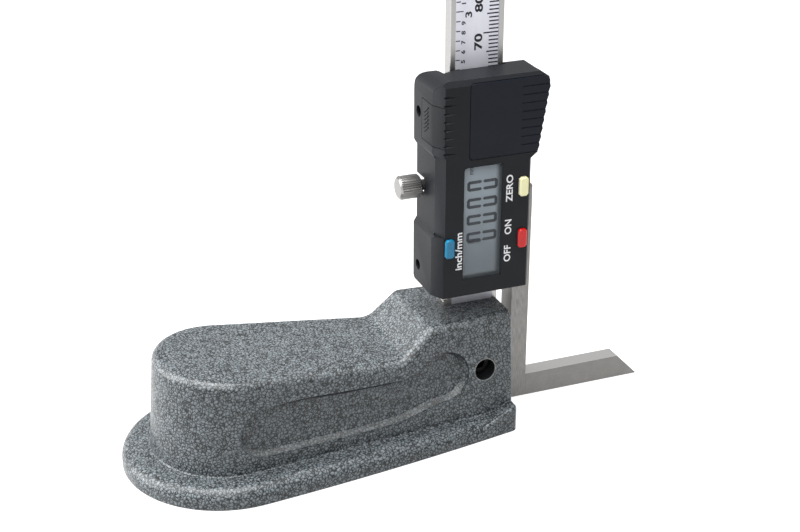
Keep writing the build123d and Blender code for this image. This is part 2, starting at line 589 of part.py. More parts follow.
# ------------------------------------------------------------------ readout inside
board = box(frame_x0 + 0.6, in_x1 - 0.35, board_y0, board_y1, low_wall + 0.4, frame_z1)
for x, z in post_holes:
    board -= box(x - 1.45, x + 1.45, board_y0 - 1, board_y1 + 1, z - 1.45, z + 1.45)
board_holes = [(corner_x[0], lock_z - 6.6), (corner_x[1] - 0.1, lock_z - 6.6)]
board_screws = []
for x, z in board_holes:
    board -= cyl_y(x, z, 0.7, board_y0 - 1, board_y1 + 1)
    board_screws.append(Pos(x, board_y0 - 0.5, z) * Rot(90, 0, 0) * slotted_screw(1.2, board_t + 0.95, 2.2, 0.5))
    parts["slider_frame"] -= cyl_y(x, z, 0.6, frame_y0 - 1, beam_front)
parts["circuit_board"] = board
parts["board_screws"] = Compound(children=board_screws)

glass_y1 = head_front + 1.4 + 1.5
window = box(win_x0 + 0.04, win_x1 - 0.04, head_front + 0.55, in_y, win_z0 + 0.04, win_z1 - 0.04)
parts["display_window"] = window
parts["lcd_panel"] = box(win_x0 - 0.5, win_x1 + 0.5, in_y, glass_y1, win_z0 - 0.5, win_z1 - 0.1)
hold_x0, hold_x1, hold_z0, hold_z1 = win_x0 - 0.5, win_x1 + 0.5, win_z0 - 0.5, win_z1 - 0.1
holder = box(hold_x0, hold_x1, glass_y1, board_y0, hold_z0, hold_z1)
holder -= box(hold_x0 + 2.6, hold_x1 - 0.8, glass_y1 - 1, board_y0 + 1, hold_z0 + 0.9, hold_z1 - 0.9)
holder -= box(hold_x0 + 0.8, hold_x0 + 2.0, glass_y1 - 1, board_y0 + 1, hold_z0 + 1.5, hold_z1 - 1.5)
parts["display_holder"] = holder
parts["zebra_connector"] = box(hold_x0 + 0.85, hold_x0 + 1.95, glass_y1, board_y0, hold_z0 + 1.6, hold_z1 - 1.6)
chip = cyl_y((hold_x0 + 2.6 + hold_x1 - 0.8) / 2, (hold_z0 + hold_z1) / 2, 2.6, board_y0 - 1.2, board_y0)
parts["controller_chip"] = bevel(chip, [e for e in chip.edges() if e.geom_type == GeomType.CIRCLE and e.center().Y < board_y0 - 1], 0.7)

# buttons and their domes
domes = []
dome_h = 1.4
travel = 0.4
for name, (x, z) in buttons.items():
    b = box(x - button_w / 2, x + button_w / 2, head_front - button_out, in_y, z - button_h / 2, z + button_h / 2)
    b = bevel(b, b.edges().filter_by(Axis.Y), 0.55)
    b = bevel(b, [e for e in b.edges() if e.center().Y < head_front - button_out + 0.01], 0.3)
    lip = 0.4
    b += box(x - button_w / 2 - (lip if x > 0 else 0.05), x + button_w / 2 + (0.05 if x > 0 else lip), in_y, in_y + 0.6, z - button_h / 2 - lip, z + button_h / 2 + lip)
    stem_x = x - 0.35 if x > 0 else x + 0.5
    b += box(stem_x - 0.8, stem_x + 0.8, in_y, board_y0 - dome_h - travel - 0.05, z - 1.8, z + 1.8)
    parts[name] = b
    cone = Pos(stem_x, board_y0, z) * Rot(90, 0, 0) * (Pos(0, 0, dome_h / 2) * Cone(1.4, 1.0, dome_h))
    domes.append(cone)
parts["button_domes"] = Compound(children=domes)

# battery, contacts, cover
cell_y1 = head_front + cover_t + 0.15 + cell_t
cell = cyl_y(cell_x, cell_z, cell_d / 2, cell_y1 - cell_t + 0.35, cell_y1)
cell += cyl_y(cell_x, cell_z, cell_d / 2 - 1.6, cell_y1 - cell_t, cell_y1 - cell_t + 0.4)
parts["battery_cell"] = cell
leaf = box(cell_x - 4.0, cell_x + 4.0, board_y0 - 0.25, board_y0, cell_z - 1.2, cell_z + 1.2)
leaf += prism_x([(board_y0 - 0.25, cell_z - 1.2), (cell_y1, cell_z - 0.9), (cell_y1, cell_z + 0.9), (board_y0 - 0.25, cell_z + 1.2)], cell_x + 2.0, cell_x + 2.5)
leaf += prism_x([(board_y0 - 0.25, cell_z - 1.2), (cell_y1, cell_z - 0.9), (cell_y1, cell_z + 0.9), (board_y0 - 0.25, cell_z + 1.2)], cell_x - 2.5, cell_x - 2.0)
parts["battery_contact_minus"] = leaf
clip_z = cell_z
clip = box(cell_x - bay_r - 0.9, cell_x - cell_d / 2, cell_y1 - 3.2, cell_y1 - 2.9, clip_z - 1.5, clip_z + 1.5)
parts["front_housing"] -= box(cell_x - bay_r - 1.5, cell_x - bay_r + 1.0, cell_y1 - 3.25, board_y0 + 1, clip_z - 1.55, clip_z + 1.55)
clip += box(cell_x - bay_r - 0.9, cell_x - bay_r - 0.55, cell_y1 - 3.2, board_y0, clip_z - 1.5, clip_z + 1.5)
parts["battery_contact_plus"] = clip

cover = box(cover_x0, flank(0.2, cover_z1), head_front, head_front + cover_t, cover_z0, cover_z1)
cover &= prism_y([(cover_x0, cover_z0), (cover_x0, cover_z1), (flank(0.2, cover_z1), cover_z1), (flank(0.2, cover_z0), cover_z0)], head_front - 1, head_front + cover_t + 1)
cover = soften(cover, [e for e in cover.edges().filter_by(Axis.Y) if abs(e.center().X - cover_x0) < 0.1], 1.0)
cover += prism_y([(flank(-1.1, cover_z0), cover_z0), (flank(0.2, cover_z0), cover_z0), (flank(0.2, cover_z1), cover_z1), (flank(-1.1, cover_z1), cover_z1)],
                 head_front, cover_wrap_y)
cover &= prism_y([(cover_x0 - 1, cover_z0 - 1), (cover_x0 - 1, head_top), (bulge_top_x - 2.4, head_top), (bulge_top_x - 0.5, head_top - 1.4),
                  (bulge_top_x + 0.2, head_top - 3.6), (bulge_top_x + 0.2, cover_z0 - 1)], head_front - 1, head_back)
cover = bevel(cover, [e for e in cover.edges() if e.center().Y < head_front + 0.01 and e.center().X > bulge_low_x], 0.5)
scallop = (cover_z1 - cover_z0) / 9
scallops = []
for i in range(9):
    z = cover_z0 + scallop * i
    scallops.append(Pos(flank(1.15, z), (head_front + cover_wrap_y) / 2, z) * Rot(90, 0, 0) * Cylinder(1.5, cover_wrap_y - head_front + 2))
grooves = []
for i in range(1, 9):
    z = cover_z0 + scallop * i
    grooves.append(Pos((cell_x + 4 + bulge_top_x + 3) / 2, head_front, z) * Rot(45, 0, 0) * Box(bulge_top_x + 3 - cell_x - 4, 0.28, 0.28))
cover = cover - scallops
cover = cover - grooves
parts["battery_cover"] = cover

# data contacts behind the port cover
contacts = []
for i in range(4):
    z = (port_z0 + port_z1) / 2 + (i - 1.5) * 1.9
    contacts.append(box(corner_x[0] + 1.6, corner_x[0] + 3.4, board_y0 - 0.12, board_y0, z - 0.5, z + 0.5))
parts["data_contacts"] = Compound(children=contacts)

os.makedirs("parts", exist_ok=True)
for name, shape in parts.items():
    if not isinstance(shape, Compound) or len(shape.solids()) == 1:
        shape = shape.solids()[0] if len(shape.solids()) == 1 else shape
    shape.label = name
    export_step(shape, "parts/" + name + ".step")
    print(name, len(shape.solids()), round(shape.volume, 1))
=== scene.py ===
import json
import math

import bpy
from mathutils import Matrix, Vector


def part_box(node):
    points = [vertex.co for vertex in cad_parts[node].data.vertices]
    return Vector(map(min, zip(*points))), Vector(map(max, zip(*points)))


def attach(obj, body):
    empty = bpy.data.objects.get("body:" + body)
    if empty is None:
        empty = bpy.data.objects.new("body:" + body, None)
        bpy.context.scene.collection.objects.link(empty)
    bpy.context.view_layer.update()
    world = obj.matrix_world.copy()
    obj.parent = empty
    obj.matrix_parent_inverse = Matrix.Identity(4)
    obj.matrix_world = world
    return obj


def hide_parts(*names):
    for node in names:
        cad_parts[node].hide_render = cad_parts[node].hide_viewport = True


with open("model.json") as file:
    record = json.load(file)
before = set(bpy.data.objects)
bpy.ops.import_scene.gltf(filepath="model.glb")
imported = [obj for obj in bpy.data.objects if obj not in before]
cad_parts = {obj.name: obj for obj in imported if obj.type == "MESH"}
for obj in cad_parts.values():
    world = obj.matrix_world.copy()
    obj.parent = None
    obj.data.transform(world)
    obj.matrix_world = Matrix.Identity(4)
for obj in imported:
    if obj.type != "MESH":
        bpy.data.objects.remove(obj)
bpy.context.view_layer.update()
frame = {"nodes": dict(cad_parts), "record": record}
nodes = frame["nodes"]
bodyOf = {node: body for body, members in frame["record"]["behaviour"]["bodies"].items() for node in members}
mm = 0.001
print("frame loaded:", len(nodes), "nodes")


class Wire:  # one value in a node tree, to write shader maths with
    def __init__(self, tree, socket):
        self.tree = tree
        self.socket = socket

    def __add__(self, other):
        return maths(self.tree, "ADD", self, other)

    def __sub__(self, other):
        return maths(self.tree, "SUBTRACT", self, other)

    def __rsub__(self, other):
        return maths(self.tree, "SUBTRACT", other, self)

    def __mul__(self, other):
        return maths(self.tree, "MULTIPLY", self, other)

    def __pow__(self, other):
        return maths(self.tree, "POWER", self, other)

    __radd__ = __add__
    __rmul__ = __mul__


def plug(tree, value, socket):
    if isinstance(value, Wire):
        tree.links.new(value.socket, socket)
    else:
        socket.default_value = value


def addNode(tree, kind, settings=None, outlet=0, numbered=(), **named):
    # From_Min stands for the socket From Min; sockets that share a name are given by number
    made = tree.nodes.new("ShaderNode" + kind)
    for key, value in (settings or {}).items():
        setattr(made, key, value)
    for key, value in (*numbered, *((key.replace("_", " "), value) for key, value in named.items())):
        plug(tree, value, made.inputs[key])
    return Wire(tree, made.outputs[outlet])


def maths(tree, operation, *values):
    return addNode(tree, "Math", {"operation": operation}, numbered=enumerate(values))


class Finish:  # a material and the tools to build it
    def __init__(self, name, **constants):
        self.material = bpy.data.materials.new(name)
        self.material.use_nodes = True
        self.tree = self.material.node_tree
        self.shader = self.tree.nodes["Principled BSDF"]
        self.set(**constants)

    def set(self, **values):  # Base_Color stands for the socket Base Color
        for key, value in values.items():
            plug(self.tree, value, self.shader.inputs[key.replace("_", " ")])

    def node(self, *words, **sockets):
        return addNode(self.tree, *words, **sockets)

    def place(self, scale=(1, 1, 1)):  # object coordinates in millimetres, stretched by scale
        spot = self.node("TexCoord", outlet=3)
        return self.node("Mapping", Vector=spot, Scale=tuple(s / mm for s in scale))

    def axes(self, vector):  # its x, y and z
        split = self.node("SeparateXYZ", Vector=vector).socket.node
        return [Wire(self.tree, outlet) for outlet in split.outputs]

    def shift(self, vector, by):
        return self.node("VectorMath", {"operation": "ADD"}, numbered=((0, by), (1, vector)))

    def noise(self, vector, scale, detail=3.0, rough=0.5, outlet=0):
        return self.node("TexNoise", Vector=vector, Scale=scale, Detail=detail, Roughness=rough, outlet=outlet)

    def cells(self, vector, scale, feature="DISTANCE_TO_EDGE"):
        return self.node("TexVoronoi", {"feature": feature}, Vector=vector, Scale=scale)

    def span(self, value, low, high, toLow=0.0, toHigh=1.0, smooth=False):
        shape = {"interpolation_type": "SMOOTHSTEP" if smooth else "LINEAR"}
        return self.node("MapRange", shape, Value=value, From_Min=low, From_Max=high, To_Min=toLow, To_Max=toHigh)

    def blend(self, factor, first, second):
        return self.node("Mix", {"data_type": "RGBA"}, 2, ((0, factor), (6, first), (7, second)))

    def bump(self, height, distance, strength=0.5):
        return self.node("Bump", Height=height, Distance=distance, Strength=strength)


def rgb(red, green, blue):  # screen colour, 0 to 255, as the linear colour of a socket
    def linear(v):
        v /= 255
        return v / 12.92 if v <= 0.04045 else ((v + 0.055) / 1.055) ** 2.4
    return (linear(red), linear(green), linear(blue), 1.0)


def scaled(tone, factor, lift=0.0):  # the same hue, lighter or darker
    return tuple(min(1.0, c * factor + lift) for c in tone[:3]) + (1.0,)


def hammerPaint():
    # grey enamel that has drawn together into small cells with dark veins; sizes in millimetres
    paint = {"pale": rgb(132, 140, 145), "mid": rgb(100, 107, 111), "vein": rgb(6, 8, 9), "highlightGrey": rgb(190, 190, 188),
             "cell": 0.88, "hairCell": 0.88 / 2.3, "veinWidth": (0.08, 0.3), "hairWidth": 0.1, "hairShare": 0.6,
             "gloss": 0.38, "veinGloss": 0.55, "coat": 0.62, "coatRoughness": 0.28, "relief": 0.13 * mm}
    hole = {"x": -1.0, "z": 18.5, "radius": 3.05, "rim": (0.05, 0.35), "rimShare": 0.45,
            "inside": rgb(26, 28, 30)}
    # the heights between which the side grips lie, and how strong the painted highlight on the grips' edges and on
    # the other rims and the painted shade under the overhangs are
    grip = {"low": (7.0, 8.0), "high": (20.0, 22.0), "edge": 0.08, "rimHighlight": 0.06, "overhangShade": 0.9}
    f = Finish("hammerPaint", Specular_IOR_Level=0.2, Coat_Weight=paint["coat"],
               Coat_Roughness=paint["coatRoughness"])
    at = f.place()
    across, _, tall = f.axes(at)
    bent = f.shift(at, f.noise(at, 1.1, 2.0, 0.6, outlet=1))
    edge = f.cells(bent, 1 / paint["cell"])
    fine = f.cells(bent, 1 / paint["hairCell"])
    patch = f.noise(at, 0.6, 3.0, 0.7)
    broad = f.noise(at, 0.07, 2.0, 0.5)
    vein = 1 - f.span(edge, 0.0, f.span(patch, 0.33, 0.67, *paint["veinWidth"]), smooth=True)
    hair = (1 - f.span(fine, 0.0, paint["hairWidth"], smooth=True)) * f.span(patch, 0.42, 0.6)
    dark = f.span(vein + hair * paint["hairShare"], 0.0, 1.0)
    tint = f.blend(f.span(edge, 0.08, 0.5), paint["mid"], paint["pale"])
    tint = f.blend(f.span(broad, 0.3, 0.7, 0.0, 0.25), tint, paint["mid"])
    tint = f.blend(dark * 0.97, tint, paint["vein"])
    # painted shade and highlight: the paint is darkened under the overhangs, where shade falls, and lightened over
    # the rounded rims that face upwards and outwards, where light falls
    _, sideways, up = f.axes(f.node("TexCoord", outlet=1))
    sideways = f.span(maths(f.tree, "ABSOLUTE", sideways), 0.35, 0.55)
    above = f.span(tall, *grip["low"])
    inGrip = sideways * above * (1 - f.span(tall, *grip["high"]))
    # painted highlight on faces that turn upwards and outwards, stronger on the edges of the side grips
    paintedHighlight = f.span(up, 0.3, 0.5) * (1 - f.span(up, 0.86, 0.97)) * above
    tint = f.blend(paintedHighlight * (inGrip * grip["edge"] + grip["rimHighlight"]), tint, paint["highlightGrey"])
    # painted shade: faces that look downwards take the dark colour of the veins
    tint = f.blend((1 - f.span(up, -0.6, -0.15)) * grip["overhangShade"], tint, paint["vein"])
    # the clamp hole through the block is painted dark inside as painted shade, and a lighter ring round its rim is a
    # painted highlight
    sideStep, upStep = across - hole["x"], tall - hole["z"]
    reach = (sideStep * sideStep + upStep * upStep) ** 0.5
    inside = 1 - f.span(reach, hole["radius"], hole["radius"] + 0.02)
    rimLow, rimHigh = (hole["radius"] + step for step in hole["rim"])
    rim = (1 - f.span(reach, rimLow, rimHigh, smooth=True)) * (1 - inside)
    tint = f.blend(inside, f.blend(rim * hole["rimShare"], tint, paint["highlightGrey"]), hole["inside"])
    height = f.span(edge, 0.0, 0.42, smooth=True) + f.noise(at, 1.9, 2.0, 0.5) * 0.55
    f.set(Base_Color=tint, Normal=f.bump(height, paint["relief"], 0.8),
          Roughness=f.span(dark, 0, 1, paint["gloss"], paint["veinGloss"]))
    return f.material


def groundSteel(name, tone, grain=(1, 1, 1), roughness=0.34, depth=0.004 * mm, mottled=0.12):
    f = Finish(name, Metallic=1.0)
    lines = f.noise(f.place(grain), 9.0, 4.0, 0.65)
    soft = f.noise(f.place(), 0.12, 3.0, 0.6)
    shade = f.blend(f.span(lines, 0.3, 0.7), scaled(tone, 0.72), scaled(tone, 1.18))
    shade = f.blend(f.span(soft, 0.35, 0.7, 0.0, mottled * 3), shade, tone)
    f.set(Base_Color=shade, Roughness=f.span(lines, 0.3, 0.7, roughness * 1.25, roughness * 0.8),
          Normal=f.bump(lines, depth, 0.6))
    return f.material


def scriberSteel():
    # the upright and the foot are ground in different directions; the foot's top is painted lighter, a painted
    # reflection of the bright space above it
    bar = {"tone": (0.235, 0.228, 0.22, 1.0), "bright": (0.6, 0.588, 0.575, 1.0), "side": 17.8, "top": 6.9,
           "seam": (0.06, 0.16), "seamShare": 0.4, "relief": 0.008 * mm}
    f = Finish("scriberSteel", Metallic=1.0)
    at = f.place()
    along, _, tall = f.axes(at)
    foot = f.span(along, bar["side"] - 0.05, bar["side"] + 0.05)
    foot = foot * (1 - f.span(tall, bar["top"] + 0.3, bar["top"] + 0.35))
    upright = f.noise(f.place((6, 6, 0.35)), 1.0, 3.0, 0.6)
    cloud = f.noise(at, 0.35, 3.0, 0.65)
    lines = foot * f.noise(at, 5.0, 4.0, 0.65) + (1 - foot) * upright
    deep, pale = scaled(bar["tone"], 0.7), scaled(bar["tone"], 1.3)
    shade = f.blend(f.span(lines, 0.3, 0.7), deep, pale)
    shade = f.blend(f.span(cloud, 0.35, 0.7, 0.0, 0.35), shade, pale)
    seam = 1 - f.span(maths(f.tree, "ABSOLUTE", along - bar["side"]), *bar["seam"])
    seam = seam * (1 - f.span(tall, bar["top"] - 0.1, bar["top"]))
    shade = f.blend(seam * bar["seamShare"], shade, deep)
    # painted reflection: the top face of the foot is painted bright
    topReflection = f.span(tall, bar["top"] - 0.06, bar["top"] - 0.02) * foot
    f.set(Base_Color=f.blend(topReflection, shade, bar["bright"]), Roughness=f.span(lines, 0.3, 0.7, 0.46, 0.34),
          Normal=f.bump(lines, bar["relief"], 0.6))
    return f.material


def mouldedPlastic(name, tone, roughness=0.42, grain=3.2, gloss=0.32):
    f = Finish(name, Specular_IOR_Level=gloss)
    at = f.place()
    pits = f.noise(at, grain, 3.0, 0.6)
    broad = f.noise(at, 0.09, 3.0, 0.6)
    dusty = scaled(tone, 1.45, 0.0015)
    f.set(Base_Color=f.blend(f.span(broad, 0.35, 0.75, 0.0, 0.6), tone, dusty),
          Roughness=f.span(pits, 0.3, 0.7, roughness * 0.9, roughness * 1.15), Normal=f.bump(pits, 0.012 * mm))
    return f.material


def glossKey(name, tone, deeper):
    f = Finish(name, Specular_IOR_Level=0.5, Coat_Weight=0.15, Coat_Roughness=0.1)
    at = f.place()
    broad = f.noise(at, 0.5, 2.0, 0.5)
    f.set(Base_Color=f.blend(f.span(broad, 0.35, 0.7, 0.0, 0.5), tone, deeper),
          Roughness=f.span(f.noise(at, 4.0, 2.0, 0.5), 0.3, 0.7, 0.26, 0.36),
          Normal=f.bump(f.noise(at, 2.0, 2.0, 0.5), 0.01 * mm, 0.4))
    return f.material


def foil():
    tones = rgb(230, 231, 241), rgb(242, 243, 251)
    f = Finish("scaleFoil", Metallic=0.4)
    at = f.place()
    fine = f.noise(at, 5.0, 3.0, 0.6)
    broad = f.noise(f.place((1, 1, 0.15)), 0.3, 2.0, 0.5)
    f.set(Base_Color=f.blend(f.span(broad, 0.3, 0.7), *tones), Roughness=f.span(fine, 0.3, 0.7, 0.5, 0.62),
          Normal=f.bump(fine, 0.006 * mm))
    return f.material


def ink(name, tone, roughness=0.5):
    f = Finish(name, Specular_IOR_Level=0.3)
    patchy = f.noise(f.place(), 3.0, 3.0, 0.6)
    f.set(Base_Color=f.blend(f.span(patchy, 0.4, 0.75, 0.0, 0.6), tone, scaled(tone, 1.25, 0.004)),
          Roughness=f.span(patchy, 0.3, 0.7, roughness * 0.9, roughness * 1.15))
    return f.material


def clearWindow():
    f = Finish("displayWindow", Base_Color=(0.9, 0.95, 1.0, 1.0), Alpha=0.04, Specular_IOR_Level=0.5)
    haze = f.noise(f.place(), 0.4, 2.0, 0.5)
    f.set(Roughness=f.span(haze, 0.3, 0.7, 0.04, 0.09))
    f.material.surface_render_method = "BLENDED"
    return f.material


def liquidCrystal():
    # the frame shades the right and the lower edge; heights and widths in millimetres
    glass = {"deep": rgb(141, 152, 159), "pale": rgb(156, 168, 177), "dim": rgb(112, 121, 127),
             "edge": rgb(52, 57, 60), "right": (1.5, 3.0), "low": (47.3, 46.2), "fade": (70.0, 50.0), "shade": 0.85}
    f = Finish("liquidCrystal", Specular_IOR_Level=0.3)
    at = f.place()
    fine = f.noise(at, 6.0, 2.0, 0.5)
    broad = f.noise(at, 0.08, 2.0, 0.5)
    across, _, tall = f.axes(at)
    shade = maths(f.tree, "MAXIMUM", f.span(across, *glass["right"], smooth=True),
                  f.span(tall, *glass["low"], smooth=True))
    tint = f.blend(f.span(broad, 0.35, 0.65), glass["deep"], glass["pale"])
    # painted shade: the panel is painted darker towards the bottom
    tint = f.blend(f.span(tall, *glass["fade"]), tint, glass["dim"])
    f.set(Base_Color=f.blend(shade * glass["shade"], tint, glass["edge"]),
          Roughness=f.span(fine, 0.3, 0.7, 0.3, 0.4), Normal=f.bump(fine, 0.003 * mm, 0.3))
    return f.material


def boardGreen():
    board = {"track": rgb(70, 120, 60), "ground": rgb(24, 78, 44), "relief": 0.03 * mm}
    f = Finish("boardGreen", Specular_IOR_Level=0.5)
    at = f.place()
    tracks = f.span(f.cells(at, 0.8, "F1"), 0.25, 0.3)
    f.set(Base_Color=f.blend(tracks, board["track"], board["ground"]), Normal=f.bump(tracks, board["relief"]),
          Roughness=f.span(f.noise(at, 3.0), 0.3, 0.7, 0.3, 0.42))
    return f.material


def softRubber(name, tone):
    f = Finish(name, Specular_IOR_Level=0.25)
    grain = f.noise(f.place(), 6.0, 3.0, 0.6)
    f.set(Base_Color=f.blend(f.span(grain, 0.35, 0.7), tone, scaled(tone, 1.5, 0.002)),
          Roughness=f.span(grain, 0.3, 0.7, 0.6, 0.75), Normal=f.bump(grain, 0.01 * mm))
    return f.material


grains = {"upright": (8, 8, 0.25), "across": (0.25, 8, 8), "turned": (0.6, 5, 5), "even": (3, 3, 3)}
finishes = {
    "base_casting": hammerPaint(),
    "beam": groundSteel("beamSteel", (0.5, 0.495, 0.49, 1.0), grains["upright"], 0.33),
    "scale_strip": foil(),
    "slider_frame": groundSteel("frameSteel", (0.3, 0.295, 0.29, 1.0), grains["upright"], 0.38),
    "back_plate": groundSteel("plateSteel", (0.56, 0.555, 0.55, 1.0), grains["upright"], 0.36),
    "scriber": scriberSteel(),
    "beam_stop": groundSteel("stopSteel", (0.6, 0.6, 0.6, 1.0), grains["across"], 0.35),
    "beam_wedge": groundSteel("wedgeSteel", (0.62, 0.6, 0.57, 1.0), grains["upright"], 0.3),
    "lock_screw": groundSteel("knobSteel", (0.4, 0.39, 0.385, 1.0), grains["turned"], 0.3, 0.006 * mm),
    "battery_cell": groundSteel("cellSteel", (0.72, 0.72, 0.71, 1.0), grains["even"], 0.24),
    "front_housing": mouldedPlastic("housingPlastic", rgb(21, 23, 27), 0.42, 3.2, 0.2),
    "port_cover": mouldedPlastic("portPlastic", rgb(18, 20, 24), 0.42, 3.2, 0.2),
    "battery_cover": mouldedPlastic("coverPlastic", rgb(18, 22, 31), 0.46, 4.0, 0.2),
    "display_holder": mouldedPlastic("holderPlastic", rgb(88, 88, 90)),
    "display_window": clearWindow(),
    "lcd_panel": liquidCrystal(),
    "zero_button": glossKey("yellowKey", rgb(255, 252, 203), rgb(255, 248, 186)),
    "power_button": glossKey("redKey", rgb(214, 10, 12), rgb(190, 8, 12)),
    "unit_button": glossKey("blueKey", rgb(4, 122, 162), rgb(3, 100, 142)),
    "circuit_board": boardGreen(),
    "controller_chip": softRubber("chipResin", rgb(26, 26, 28)),
    "zebra_connector": softRubber("zebraRubber", rgb(60, 60, 62)),
    "button_domes": softRubber("domeRubber", rgb(52, 52, 54)),
}
brightScrews = groundSteel("brightScrews", (0.68, 0.67, 0.66, 1.0), grains["even"], 0.26)
blackScrews = groundSteel("blackScrews", (0.055, 0.055, 0.058, 1.0), grains["even"], 0.36, mottled=0.2)
brassStock = groundSteel("brassStock", (0.72, 0.5, 0.2, 1.0), grains["even"], 0.3)
springBrass = groundSteel("springBrass", (0.78, 0.62, 0.3, 1.0), grains["even"], 0.26)
shared = (
    (brightScrews, ("beam_stop_screws", "back_plate_screws", "housing_screws", "board_screws")),
    (blackScrews, ("beam_clamp_screw", "gib_screws", "scriber_screws")),
    (brassStock, ("gib_strip", "lock_pad")),
    (springBrass, ("battery_contact_minus", "battery_contact_plus", "data_contacts")),
)
for finish, names in shared:
    for name in names:
        finishes[name] = finish
scaleInk = ink("scaleInk", rgb(30, 30, 38), 0.45)
whiteInk = ink("legendInk", rgb(240, 241, 244), 0.55)
segmentInk = ink("segmentInk", rgb(38, 44, 52), 0.4)


def coat(obj, finish):
    if not obj.material_slots:
        obj.data.materials.append(finish)
    for used in obj.material_slots:
        used.material = finish


for name, obj in nodes.items():
    coat(obj, finishes[name])
print("finishes:", len(bpy.data.materials))


def pick(obj):
    bpy.ops.object.select_all(action="DESELECT")
    obj.select_set(True)
    bpy.context.view_layer.objects.active = obj


def settle(obj):  # put the object's place into its mesh
    pick(obj)
    bpy.ops.object.transform_apply(location=True, rotation=True, scale=True)


def chooseEdges(obj, test):  # select edges by a test, in edit mode
    for group in (obj.data.vertices, obj.data.edges, obj.data.polygons):
        for item in group:
            item.select = False
    for item in obj.data.edges:
        item.select = test(item)
    bpy.ops.object.mode_set(mode="EDIT")
    bpy.ops.mesh.select_mode(type="EDGE")


def finishPiece(obj, name, node, finish):
    obj.name = obj.data.name = name
    coat(obj, finish)
    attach(obj, bodyOf[node])


def block(low, high):
    centre = [(a + b) / 2 for a, b in zip(low, high)]
    bpy.ops.mesh.primitive_cube_add(size=1, location=centre)
    obj = bpy.context.object
    obj.scale = [b - a for a, b in zip(low, high)]
    settle(obj)
    return obj


def repeat(obj, step, count):
    modifier = obj.modifiers.new("rows", "ARRAY")
    modifier.use_relative_offset = False
    modifier.use_constant_offset = True
    modifier.constant_offset_displace = step
    modifier.count = count
    pick(obj)
    bpy.ops.object.modifier_apply(modifier=modifier.name)
    return obj


def copyTo(source, spot):  # a copy with its own mesh
    copy = bpy.data.objects.new(source.name, source.data.copy())
    bpy.context.scene.collection.objects.link(copy)
    copy.location = spot
    settle(copy)
    return copy


def join(pieces):
    bpy.ops.object.select_all(action="DESELECT")
    for piece in pieces:
        piece.select_set(True)
    bpy.context.view_layer.objects.active = pieces[0]
    bpy.ops.object.join()
    return bpy.context.object


def dress(node, width, rounds):
    # a merged copy of a CAD node with softened edges; it stands for the node
    edge = {"merge": 0.002 * mm, "flat": math.radians(0.6), "corner": math.radians(32), "smooth": math.radians(44)}
    obj = bpy.data.objects.new(node + "_dressed", nodes[node].data.copy())
    bpy.context.scene.collection.objects.link(obj)
    pick(obj)
    bpy.ops.object.mode_set(mode="EDIT")
    bpy.ops.mesh.select_all(action="SELECT")
    bpy.ops.mesh.remove_doubles(threshold=edge["merge"])
    bpy.ops.mesh.dissolve_limited(angle_limit=edge["flat"])
    bpy.ops.object.mode_set(mode="OBJECT")
    if obj.data.has_custom_normals:
        bpy.ops.mesh.customdata_custom_splitnormals_clear()
    soft = obj.modifiers.new("soft", "BEVEL")
    soft.width = width
    soft.segments = rounds
    soft.limit_method = "ANGLE"
    soft.angle_limit = edge["corner"]
    soft.harden_normals = False
    bpy.ops.object.modifier_apply(modifier=soft.name)
    bpy.ops.object.shade_smooth_by_angle(angle=edge["smooth"])
    even = obj.modifiers.new("even", "WEIGHTED_NORMAL")
    even.mode = "FACE_AREA"
    even.keep_sharp = True
    bpy.ops.object.modifier_apply(modifier=even.name)
    finishPiece(obj, node + "_dressed", node, finishes[node])
    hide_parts(node)


softened = {"base_casting": 0.16, "front_housing": 0.22, "battery_cover": 0.12, "port_cover": 0.1, "scriber": 0.12,
            "slider_frame": 0.12, "back_plate": 0.12, "beam": 0.08, "lock_screw": 0.06, "beam_stop": 0.1,
            "zero_button": 0.22, "power_button": 0.22, "unit_button": 0.22, "beam_wedge": 0.08}
for node, width in softened.items():
    dress(node, width * mm, 3 if "button" in node else 2)
print("softened copies:", len(softened))


def word(text, size, spot, stretch, bold, anchor="LEFT", thick=0.02 * mm):
    # reads upwards on the side that faces -Y; spot is the baseline's start, or its end for RIGHT
    bpy.ops.object.text_add()
    obj = bpy.context.object
    obj.data.body = text
    obj.data.size = size
    obj.data.offset = bold
    obj.data.extrude = thick / 2
    obj.data.align_x = anchor
    obj.data.resolution_u = 4
    pick(obj)
    bpy.ops.object.convert(target="MESH")
    obj = bpy.context.object
    turn = Matrix(((0, -1, 0), (0, 0, -1), (1, 0, 0))).to_4x4()  # text right to +Z, text up to -X
    obj.matrix_world = Matrix.Translation(spot) @ turn @ Matrix.Diagonal((stretch, 1, 1, 1))
    settle(obj)
    return obj


